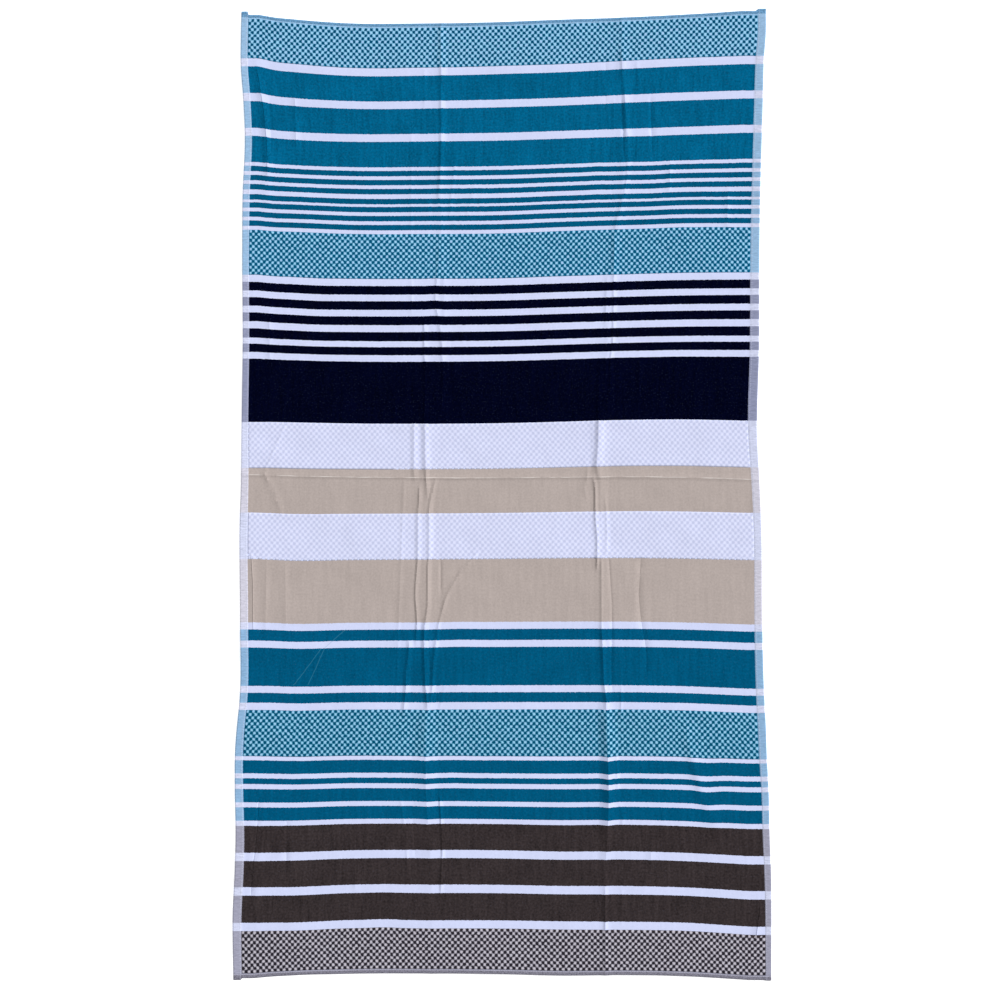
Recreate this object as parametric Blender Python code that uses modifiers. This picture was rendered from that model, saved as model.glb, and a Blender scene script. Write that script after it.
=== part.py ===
"""Beach towel lying flat: one woven cloth with turned hems and the folds it was packed in.

Metres, +Z up. The origin is the middle of the towel's footprint, on the surface it lies on.
+Y runs along the towel towards its teal end, and +X to the right, seen from above.
The tables below are in millimetres.
"""

from collections import namedtuple

import bmesh
import bpy
import numpy as np

NAME = "towel"
COLLECTION = "beach_towel"
MM = 0.001

# Driving sizes, in millimetres.
CLOTH_THICK = 2.0
HEM_THICK = 3.0
HEM_STEP = 1.5  # the run over which a hem drops to the single cloth
END_HEM = 8.0
TEAL_END = 815.0  # the two ends, measured along the middle of the cloth
BROWN_END = -829.0
ROW_STEP = 36.0  # the longest plain stretch between two grid rows
CREST_SHARPNESS = 1.3  # 1 is a straight-sided tent, more is a crest on hollow flanks
MID_FLANK = 0.4  # where a flank has its extra grid line, as a share of its width

# The two long edges: where each lies at stations along the towel, and how wide its hem is there.
Edge = namedtuple("Edge", "along left right left_hem right_hem")
EDGES = (
    Edge(-837, -456, 458, 13, 8.5),
    Edge(-720, -458, 459, 14, 9.5),
    Edge(-650, -455, 459, 14, 10.5),
    Edge(-585, -454, 457, 13.5, 11),
    Edge(-517, -456, 456, 13, 11.5),
    Edge(-449, -456, 453, 12.5, 12.5),
    Edge(-407, -453, 452, 12, 13),
    Edge(-364, -449, 450, 12, 13),
    Edge(-228, -449, 447, 12.5, 12.5),
    Edge(-73, -451, 447, 12.5, 12.5),
    Edge(21, -449, 444, 11.5, 13.5),
    Edge(82, -449, 441, 10.5, 14.5),
    Edge(238, -448, 445, 10, 15),
    Edge(412, -450, 447, 10.5, 14.5),
    Edge(499, -450, 449, 11, 14),
    Edge(613, -447, 453, 11, 14),
    Edge(666, -450, 455, 11, 14),
    Edge(728, -455, 457, 11, 13.5),
    Edge(780, -455, 461, 11, 13.5),
    Edge(837, -454, 461, 11, 13.5),
)

# How far a weft thread lies towards the teal end of a straight line, at nine places across.
BOW_PLACES = (-423, -363, -259, -130, 0, 102, 206, 309, 421)
Bow = namedtuple("Bow", "along lift")
WEFT_BOW = (
    Bow(-829, (-6, -1.5, 1.5, 2, 1, -1.5, -0.5, -2.5, -9)),
    Bow(-744, (-4.5, -4, 1, 1, 0.5, -1, -1.5, -2.5, -9.5)),
    Bow(-627, (-3.5, -2.5, 1, 1.5, 1, -1, -0.5, -2.5, -8)),
    Bow(-492, (0.5, -0.5, 1, -0.5, 0.5, 0, 0.5, -1, -5)),
    Bow(-364, (-1, -2, -0.5, -0.5, 0, 0, 0, -1, -5)),
    Bow(-121, (0, -3, -2, -1, 0, 1, 1.5, 0.5, -2)),
    Bow(113, (1, 0.5, -1.5, -2, -1, 1.5, 4.5, 5.5, 3.5)),
    Bow(447, (5, 1, -3, -3, -2, 2, 5.5, 8.5, 9)),
    Bow(611, (7, 1, -4, -3.5, -1.5, 1.5, 5, 8.5, 12)),
    Bow(729, (12, 2, -4.5, -4.5, -1.5, 1.5, 7, 11, 15.5)),
    Bow(815, (11, 3.5, -4, -4, -1.5, 2.5, 6, 11, 18)),
)

# The side hems stick out past the end hems by these lengths.
EAR_TEAL = {"left": 5.0, "right": 4.0}
EAR_BROWN = {"left": 3.0, "right": 1.0}

# The long folds run from end to end, a row for each station: where the crest lies across the
# towel, how high it stands, and how wide its two flanks are.
Crest = namedtuple("Crest", "along across height left right")
LEFT_MARGIN_FOLD = (
    Crest(-829, -414, 0.0, 12, 12),
    Crest(-700, -416, 2.0, 12, 10),
    Crest(-660, -416, 5.0, 14, 10),
    Crest(-560, -413, 5.0, 14, 10),
    Crest(-500, -411, 0.0, 14, 12),
    Crest(450, -408, 0.0, 12, 12),
    Crest(546, -406, 3.0, 12, 8),
    Crest(652, -411, 3.5, 12, 8),
    Crest(705, -418, 3.0, 12, 8),
    Crest(760, -420, 0.0, 12, 8),
    Crest(815, -420, 0.0, 12, 8),
)
LEFT_FOLD = (
    Crest(-829, -108, 2.5, 8, 8),
    Crest(-669, -105, 4.0, 9, 8),
    Crest(-590, -106, 5.0, 12, 10),
    Crest(-546, -128, 5.0, 24, 22),
    Crest(-460, -130, 5.5, 24, 22),
    Crest(-407, -129, 5.0, 22, 20),
    Crest(-364, -127, 4.0, 12, 10),
    Crest(-240, -131, 4.0, 10, 9),
    Crest(-44, -127, 3.5, 9, 8),
    Crest(20, -129, 4.0, 10, 9),
    Crest(108, -126, 4.5, 12, 10),
    Crest(145, -103, 3.5, 10, 8),
    Crest(238, -101, 3.0, 8, 7),
    Crest(325, -108, 3.5, 9, 8),
    Crest(400, -99, 3.5, 9, 8),
    Crest(482, -106, 3.5, 10, 8),
    Crest(815, -106, 4.0, 12, 9),
)
RIGHT_FOLD = (
    Crest(-829, 178, 3.0, 9, 8),
    Crest(-640, 177, 4.5, 12, 9),
    Crest(-575, 181, 6.0, 16, 18),
    Crest(-530, 182, 7.5, 17, 20),
    Crest(-457, 181, 8.0, 16, 20),
    Crest(-400, 179, 6.5, 15, 18),
    Crest(-372, 178, 4.5, 15, 14),
    Crest(-245, 173, 4.5, 10, 9),
    Crest(-102, 167, 4.5, 10, 9),
    Crest(21, 167, 5.5, 12, 10),
    Crest(111, 173, 5.0, 12, 10),
    Crest(220, 185, 3.5, 9, 8),
    Crest(354, 190, 3.5, 9, 8),
    Crest(460, 212, 4.0, 12, 9),
    Crest(617, 219, 4.5, 12, 9),
    Crest(690, 210, 4.0, 12, 9),
    Crest(815, 208, 4.0, 12, 9),
)
RIGHT_PLEAT = (
    Crest(-829, 372, 0.0, 16, 12),
    Crest(-600, 372, 0.0, 16, 12),
    Crest(-563, 358, 2.5, 16, 26),
    Crest(-522, 343, 3.5, 16, 26),
    Crest(-440, 320, 3.5, 14, 24),
    Crest(-395, 316, 0.0, 16, 12),
    Crest(815, 316, 0.0, 16, 12),
)
LONG_FOLDS = (LEFT_MARGIN_FOLD, LEFT_FOLD, RIGHT_FOLD, RIGHT_PLEAT)
COLUMNS_BETWEEN = (1, 5, 5, 2, 1)  # plain grid columns before, between and after the long folds

# The cross fold runs from side to side where the towel was folded in half.
Ridge = namedtuple("Ridge", "across along height teal_flank brown_flank")
CROSS_FOLD = (
    Ridge(-459, 21, 2.5, 9, 6),
    Ridge(-160, 18, 3.0, 10, 6),
    Ridge(-100, 17, 3.5, 10, 6),
    Ridge(0, 17, 2.5, 9, 6),
    Ridge(130, 15, 3.0, 10, 6),
    Ridge(200, 14, 3.5, 10, 6),
    Ridge(459, 12, 2.5, 9, 6),
)


def read(table, column, place, by="along"):
    """The value of a table's column at a place between its rows."""
    stations = [getattr(row, by) for row in table]
    values = [getattr(row, column) for row in table]
    return float(np.interp(place, stations, values))


def bow(across, along):
    """How far the weft thread at a place lies towards the teal end of its straight line."""
    stations = [row.along for row in WEFT_BOW]
    lifts = zip(*[row.lift for row in WEFT_BOW])
    here = [np.interp(along, stations, lift) for lift in lifts]
    return float(np.interp(across, BOW_PLACES, here))


def flank(distance, before, after, height):
    """The height of a fold's flank at a signed distance from its crest."""
    width = before if distance < 0 else after
    share = max(0.0, 1.0 - abs(distance) / width)
    return height * share**CREST_SHARPNESS


def long_fold_height(fold, across, along):
    """How far one long fold lifts the cloth at a place."""
    distance = across - read(fold, "across", along)
    shape = [read(fold, column, along) for column in ("left", "right", "height")]
    return flank(distance, *shape)


def cross_fold_height(across, along):
    """How far the cross fold lifts the cloth at a place."""
    distance = along - read(CROSS_FOLD, "along", across, "across")
    columns = ("brown_flank", "teal_flank", "height")
    return flank(distance, *[read(CROSS_FOLD, column, across, "across") for column in columns])


def cloth_height(across, along):
    """How far the underside of the cloth is lifted off the surface at a place."""
    lifts = [long_fold_height(fold, across, along) for fold in LONG_FOLDS]
    return sum(lifts) + cross_fold_height(across, along)


def hem_lines(edge, width):
    """An edge, its hem's stitch line and the foot of the hem, as places across."""
    return [edge, edge + width, edge + width + np.sign(width) * HEM_STEP]


def fold_lines(fold, along):
    """The foot, middle and crest of a long fold's two flanks, as places across."""
    crest = read(fold, "across", along)
    left = read(fold, "left", along)
    right = read(fold, "right", along)
    return [crest - left, crest - MID_FLANK * left, crest, crest + MID_FLANK * right, crest + right]


def column_places(along):
    """Where every grid column crosses a row: the columns follow the hems and the long folds."""
    left, right, left_hem, right_hem = (
        read(EDGES, name, along) for name in ("left", "right", "left_hem", "right_hem")
    )
    groups = [hem_lines(left, left_hem)]
    groups += [fold_lines(fold, along) for fold in LONG_FOLDS]
    groups += [hem_lines(right, -right_hem)[::-1]]
    places = list(groups[0])
    for spare, group in zip(COLUMNS_BETWEEN, groups[1:]):
        places += list(np.linspace(places[-1], group[0], spare + 2)[1:-1])
        places += group
    return places


def row_places():
    """The grid rows of the middle thread: ends, hems, the cross fold and plain rows between."""
    crest = read(CROSS_FOLD, "along", 0.0, "across")
    brown = read(CROSS_FOLD, "brown_flank", 0.0, "across")
    teal = read(CROSS_FOLD, "teal_flank", 0.0, "across")
    foot = END_HEM + HEM_STEP
    groups = (
        [BROWN_END, BROWN_END, BROWN_END + END_HEM, BROWN_END + foot],
        [crest - brown, crest - MID_FLANK * brown, crest, crest + MID_FLANK * teal, crest + teal],
        [TEAL_END - foot, TEAL_END - END_HEM, TEAL_END, TEAL_END],
    )
    places = list(groups[0])
    for group in groups[1:]:
        steps = int(np.ceil((group[0] - places[-1]) / ROW_STEP))
        places += list(np.linspace(places[-1], group[0], steps + 1)[1:-1])
        places += group
    return places


def slant(across, along):
    """Lean the rows near the cross fold so that they follow it."""
    reach = 1.0 - min(1.0, abs(along) / (4 * ROW_STEP))
    crest = read(CROSS_FOLD, "along", across, "across")
    return reach * (crest - read(CROSS_FOLD, "along", 0.0, "across"))


def towel_underside():
    """The cloth's underside as an open grid mesh, with its hem rows and columns weighted."""
    rows = row_places()
    column_count = len(column_places(0.0))
    ears = {0: EAR_BROWN, len(rows) - 1: EAR_TEAL}
    sheet = bmesh.new()
    bmesh.ops.create_grid(sheet, x_segments=column_count - 1, y_segments=len(rows) - 1, size=0.5)
    hem = sheet.verts.layers.deform.verify()
    side_columns = (0, 1, column_count - 2, column_count - 1)
    ear_gaps = []
    for vert in sheet.verts:
        column = round((vert.co.x + 0.5) * (column_count - 1))
        row = round((vert.co.y + 0.5) * (len(rows) - 1))
        along = rows[row]
        across = column_places(along)[column]
        along += slant(across, along)
        ear = ears[row]["left" if across < 0 else "right"] if row in ears else 0.0
        outwards = -1.0 if row == 0 else 1.0
        place = along + bow(across, along) + outwards * ear
        vert.co = (across * MM, place * MM, cloth_height(across, along) * MM)
        in_end_hem = row < 3 or row > len(rows) - 4
        vert[hem][0] = 1.0 if column in side_columns or in_end_hem else 0.0
        if row in ears and column not in side_columns:
            ear_gaps.append(vert)
    bmesh.ops.delete(sheet, geom=ear_gaps, context="VERTS")
    mesh = bpy.data.meshes.new(NAME)
    sheet.to_mesh(mesh)
    sheet.free()
    return mesh


def cloth_material():
    """Teal cotton, matt."""
    material = bpy.data.materials.new("woven_cotton")
    material.use_nodes = True
    shader = material.node_tree.nodes["Principled BSDF"]
    shader.inputs["Base Color"].default_value = (0.006, 0.112, 0.235, 1.0)
    shader.inputs["Roughness"].default_value = 0.95
    shader.inputs["Metallic"].default_value = 0.0
    return material


def build_towel(collection):
    """One closed sheet: the underside grid given its thickness, thicker over the hems."""
    towel = bpy.data.objects.new(NAME, towel_underside())
    collection.objects.link(towel)
    towel.vertex_groups.new(name="hem")
    towel.data.materials.append(cloth_material())
    towel.data.shade_smooth()
    thickness = towel.modifiers.new("thickness", "SOLIDIFY")
    thickness.thickness = HEM_THICK * MM
    thickness.offset = 1.0
    thickness.vertex_group = "hem"
    thickness.thickness_vertex_group = CLOTH_THICK / HEM_THICK
    return towel


def main():
    for old in list(bpy.data.objects):
        bpy.data.objects.remove(old)
    collection = bpy.data.collections.new(COLLECTION)
    bpy.context.scene.collection.children.link(collection)
    build_towel(collection)


main()
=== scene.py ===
"""A woven cotton beach towel lying flat: raised check bands, stitched hems and packing folds.

The tables are in millimetres on the cloth. Across runs from the middle to the right, seen
from above, and along runs from the middle to the teal end. What is built is in metres, in
the frame's own place.
"""

import math
from collections import namedtuple

import bpy
import numpy as np
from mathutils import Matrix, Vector


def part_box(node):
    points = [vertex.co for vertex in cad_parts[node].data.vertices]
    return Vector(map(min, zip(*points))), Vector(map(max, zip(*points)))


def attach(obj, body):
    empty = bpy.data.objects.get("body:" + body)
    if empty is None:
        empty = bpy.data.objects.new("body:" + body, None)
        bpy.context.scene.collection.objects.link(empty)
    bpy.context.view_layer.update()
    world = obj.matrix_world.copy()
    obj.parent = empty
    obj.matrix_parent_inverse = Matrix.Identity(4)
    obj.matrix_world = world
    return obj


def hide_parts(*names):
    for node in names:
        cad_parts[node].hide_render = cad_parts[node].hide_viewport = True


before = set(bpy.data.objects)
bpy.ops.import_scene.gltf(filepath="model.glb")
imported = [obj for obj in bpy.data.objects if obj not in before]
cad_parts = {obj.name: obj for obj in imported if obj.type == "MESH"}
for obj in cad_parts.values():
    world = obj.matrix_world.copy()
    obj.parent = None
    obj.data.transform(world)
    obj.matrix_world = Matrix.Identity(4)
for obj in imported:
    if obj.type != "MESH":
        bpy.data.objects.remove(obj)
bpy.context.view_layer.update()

MM = 0.001
SEED = 7

# ---- The cloth's sizes --------------------------------------------------------------------

LOW, HIGH = (np.array(corner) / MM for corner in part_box("towel"))
HALF_CUT = 450.0  # half the width that the cloth was woven to
SIDE_HEM = 12.0  # as woven: as it lies, each side hem is as wide as the table of edges says
END_HEM = 8.0
HEM_STEP = 1.5  # the run over which a hem drops to the single cloth
CLOTH_THICK = 2.0
HEM_EXTRA = 0.5  # a hem is this much thicker than the single cloth
ROUNDING = 2.0  # how far in from the edge a hem is rounded over
FACE_ROUND = 1.6  # how far the face drops at the edge, and how far the underside lifts
UNDER_ROUND = 0.4
STITCH_INSET = 1.8  # an end hem's stitch row lies this far outside its foot
SIDE_STITCH_INSET = 1.0  # and a side hem's row, this far outside where its step begins
STITCH_MARGIN = 2.0  # every row stops this far short of the cloth's edges
END_FACE = 2.2  # the turned edge of an end hem stops this far short of its foot
STITCH_PINCH = 0.45  # how deep an end hem's stitch row pulls it in
HEM_REACH = SIDE_HEM + HEM_STEP  # from a long edge to its hem's foot
HEM_FOOT = HALF_CUT - HEM_REACH  # from the cloth's middle to a side hem's foot
HEM_THREADS = (-HALF_CUT, -HEM_FOOT, HEM_FOOT, HALF_CUT)  # the warp threads at these places
EAR_TEAL = (6.0, 4.0)  # how far the side hems stick out past each end hem, left and right
EAR_BROWN = (3.0, 1.0)
TEAL_END = HIGH[1] - 22.0  # the middle of each end lies in from the corners
BROWN_END = LOW[1] + 10.0

# How far each long edge is drawn in from the widest place, and how wide its hem is there.
Edge = namedtuple("Edge", "along left right left_hem right_hem")
EDGES = (
    Edge(-837, 2, 3, 13, 8.5), Edge(-720, 0, 2, 14, 9.5), Edge(-650, 3, 2, 14, 10.5),
    Edge(-585, 4, 4, 13.5, 11), Edge(-517, 2, 5, 13, 11.5), Edge(-449, 2, 8, 12.5, 12.5),
    Edge(-407, 5, 9, 12, 13), Edge(-364, 9, 11, 12, 13), Edge(-228, 9, 14, 12.5, 12.5),
    Edge(-73, 7, 14, 12.5, 12.5), Edge(21, 9, 17, 11.5, 13.5), Edge(82, 9, 20, 10.5, 14.5),
    Edge(238, 10, 16, 10, 15), Edge(412, 8, 14, 10.5, 14.5), Edge(499, 8, 12, 11, 14),
    Edge(613, 11, 8, 11, 14), Edge(666, 8, 6, 11, 14), Edge(728, 3, 4, 11, 13.5),
    Edge(780, 3, 0, 11, 13.5), Edge(837, 4, 0, 11, 13.5),
)

# How far a weft thread lies towards the teal end of a straight line, at ten places across.
BOW_PLACES = (-423, -395, -363, -259, -130, 0, 102, 206, 309, 421)
Bow = namedtuple("Bow", "along lift")
WEFT_BOW = (
    Bow(-829, (-6, -3.5, -1.5, 1.5, 2, 1, -1.5, -0.5, -2.5, -9)),
    Bow(-744, (-3.5, -3, -3, 1, 1, 0.5, -1, -1.5, -3.2, -10)),
    Bow(-627, (-3, -3, -2.5, 1, 2, 1, -1, -0.5, -3.2, -8.8)),
    Bow(-492, (0.5, 0, -0.5, 1.5, 1, 0.5, 0, 0.5, -1, -5)),
    Bow(-364, (-1, -1.2, -2.2, -0.5, -0.5, 0, 0, 0, -1.6, -6)),
    Bow(-121, (0, -1.5, -3, -2, -1, 0, 1, 1.5, 0.5, -2)),
    Bow(113, (1, 1, 0.5, -1.5, -2, -1, 1.5, 4.5, 5.5, 3.5)),
    Bow(300, (4.5, 2, 0.5, -2.3, -2.5, -1.1, 1.8, 4.9, 7.2, 8)),
    Bow(447, (4.4, 2, 1, -3, -3, -2, 2, 5.2, 8.6, 9)),
    Bow(611, (6.6, 2.6, 0, -4, -3.5, -1.5, 1.5, 5, 8.5, 12)),
    Bow(729, (12, 5.5, 2, -5, -4.5, -1.5, 1.5, 7, 12, 16.2)),
    Bow(815, (11, 6.2, 3.2, -4, -4, -1.5, 2.5, 6, 11, 18)),
)

# Where a fold pulls the weft towards the teal end, or back from it, and how far round about.
Pull = namedtuple("Pull", "along across along_reach across_reach shift")
PULLS = (
    Pull(540, 165, 60, 14, 0.6), Pull(520, 258, 70, 32, -0.9), Pull(320, -315, 80, 40, -1.0),
    Pull(320, -118, 60, 12, 0.8), Pull(-270, -70, 80, 30, 0.8), Pull(-505, 352, 60, 20, -2.4),
    Pull(-500, -80, 40, 22, 0.6), Pull(-740, -200, 60, 26, 1.3),
)

# ---- The weave: every band of the cloth, from the teal end's hem to the brown end's ---------

# A band has its yarn, a weave where it is raised, and its two borders along the cloth.
Band = namedtuple("Band", "yarn weave high low")
END_CHECK_ROWS = 13  # checks along a band at either end of the towel
CHECK_ROWS = 15  # and along every other
END_CHECK_DEPTH = 75.0  # the bands at the ends are the ones less deep than this
CHECK_COLUMNS = 180  # checks from side hem to side hem
PLAN = (
    [("teal check", 70.3), ("white", 14.0), ("teal", 45.0)]
    + [("white", 13.5), ("teal", 45.0)] * 2
    + [("white", 6.3), ("deep_teal", 9.55)] * 3
    + [("white", 8.0), ("deep_teal", 9.55), ("white", 4.6)]
    + [("deep_teal", 9.55), ("white", 6.3)] * 2
    + [("deep_teal", 9.55), ("white", 6.7), ("teal check", 78.8)]
    + [("white", 12.3), ("navy", 15.2), ("white", 11.4)]
    + [("navy", 15.1), ("white", 11.4), ("navy", 15.3)]
    + [("white", 12.1), ("navy", 16.0), ("white", 10.2)]
    + [("navy", 14.2), ("white", 11.3), ("navy", 107.9)]
    + [("white relief", 78.9), ("beige", 76.6)]
    + [("white relief", 79.5), ("beige", 107.9)]
    + [("white", 12.0), ("deep_teal", 18.9), ("white", 11.8)]
    + [("deep_teal", 65.5), ("white", 11.7), ("deep_teal", 17.0)]
    + [("white", 12.5), ("deep_teal check", 80.0), ("white", 6.9)]
    + [("deep_teal", 22.3), ("white", 8.2), ("deep_teal", 9.7)]
    + [("white", 8.2), ("deep_teal", 22.1), ("white", 8.1)]
    + [("deep_teal", 21.9), ("white", 8.2), ("brown", 44.5)]
    + [("white", 13.7), ("brown", 44.3), ("white", 14.0)]
    + [("brown", 45.7), ("white", 13.7), ("brown check", 69.0)]
)


def woven_bands():
    """The plan as bands with their borders, running down from the teal end's hem."""
    bands, place = [], TEAL_END - END_HEM
    for name, depth in PLAN:
        yarn, _, weave = name.partition(" ")
        bands.append(Band(yarn, weave, place, place - depth))
        place -= depth
    return bands


BANDS = woven_bands()
RAISED_BANDS = [band for band in BANDS if band.weave]


def check_rows(band):
    """How many checks there are along a raised band."""
    return END_CHECK_ROWS if band.high - band.low < END_CHECK_DEPTH else CHECK_ROWS


# ---- The folds ----------------------------------------------------------------------------

# The long folds, a row for each station: where the crest lies across the towel, how high it
# stands, and how wide its two flanks are.
Crest = namedtuple("Crest", "along across height left right")
LEFT_MARGIN_FOLD = (
    Crest(-829, -414, 0.0, 16, 14), Crest(-700, -416, 0.5, 16, 14), Crest(-660, -416, 0.8, 18, 14),
    Crest(-560, -413, 0.8, 18, 14), Crest(-500, -411, 0.0, 16, 14), Crest(450, -408, 0.0, 16, 14),
    Crest(546, -406, 1.4, 16, 12), Crest(652, -411, 1.6, 16, 12), Crest(705, -418, 1.4, 16, 12),
    Crest(760, -420, 0.0, 16, 12), Crest(815, -420, 0.0, 16, 12),
)
LEFT_FOLD = (
    Crest(-829, -118, 0.6, 20, 18), Crest(-669, -120, 1.2, 24, 22), Crest(-590, -124, 2.4, 24, 22),
    Crest(-546, -128, 3.2, 24, 22), Crest(-460, -130, 3.6, 24, 22), Crest(-407, -129, 3.2, 22, 20),
    Crest(-364, -126, 1.4, 20, 16), Crest(-240, -130, 1.0, 20, 20), Crest(20, -130, 1.2, 20, 18),
    Crest(145, -120, 1.3, 22, 20), Crest(238, -103, 1.1, 16, 14), Crest(482, -106, 1.2, 14, 12),
    Crest(815, -106, 1.3, 14, 12),
)
RIGHT_FOLD = (
    Crest(-829, 177, 1.2, 12, 12), Crest(-640, 177, 2.0, 14, 14), Crest(-575, 181, 4.4, 16, 18),
    Crest(-530, 182, 6.0, 17, 20), Crest(-457, 181, 6.4, 16, 20), Crest(-400, 179, 5.2, 15, 18),
    Crest(-372, 178, 2.6, 15, 16), Crest(-245, 176, 1.5, 18, 18), Crest(21, 170, 1.7, 18, 16),
    Crest(220, 182, 1.3, 16, 14), Crest(354, 190, 1.3, 16, 14), Crest(460, 204, 1.6, 18, 14),
    Crest(600, 215, 1.6, 18, 14), Crest(815, 209, 1.6, 18, 14),
)
RIGHT_PLEAT = (
    Crest(-829, 372, 0.0, 16, 18), Crest(-600, 368, 0.0, 16, 20), Crest(-563, 358, 1.4, 16, 26),
    Crest(-522, 343, 2.2, 16, 26), Crest(-440, 320, 2.2, 14, 24), Crest(-395, 316, 0.0, 14, 18),
    Crest(815, 316, 0.0, 16, 12),
)
LONG_FOLDS = (LEFT_MARGIN_FOLD, LEFT_FOLD, RIGHT_FOLD, RIGHT_PLEAT)

# The cross fold, from side to side where the towel was folded in half.
Ridge = namedtuple("Ridge", "across along height teal_flank brown_flank")
CROSS_FOLD = (
    Ridge(-459, 21, 1.0, 9, 4), Ridge(-160, 18, 1.2, 10, 4), Ridge(-100, 17, 1.4, 10, 4),
    Ridge(0, 17, 1.1, 9, 4), Ridge(130, 15, 1.3, 10, 4), Ridge(200, 14, 1.4, 10, 4),
    Ridge(459, 12, 1.0, 9, 4),
)
FOLD_MIDDLE = CROSS_FOLD[3].along  # where its crest crosses the middle of the towel
CREST_SHARPNESS = 1.3  # 1 is a straight-sided tent, more is a crest on hollow flanks
CREASE_SHARPNESS = 1.15
FOLD_SLIP = 0.25  # how far the cloth slips towards the brown end, for each millimetre it stands up

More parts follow.
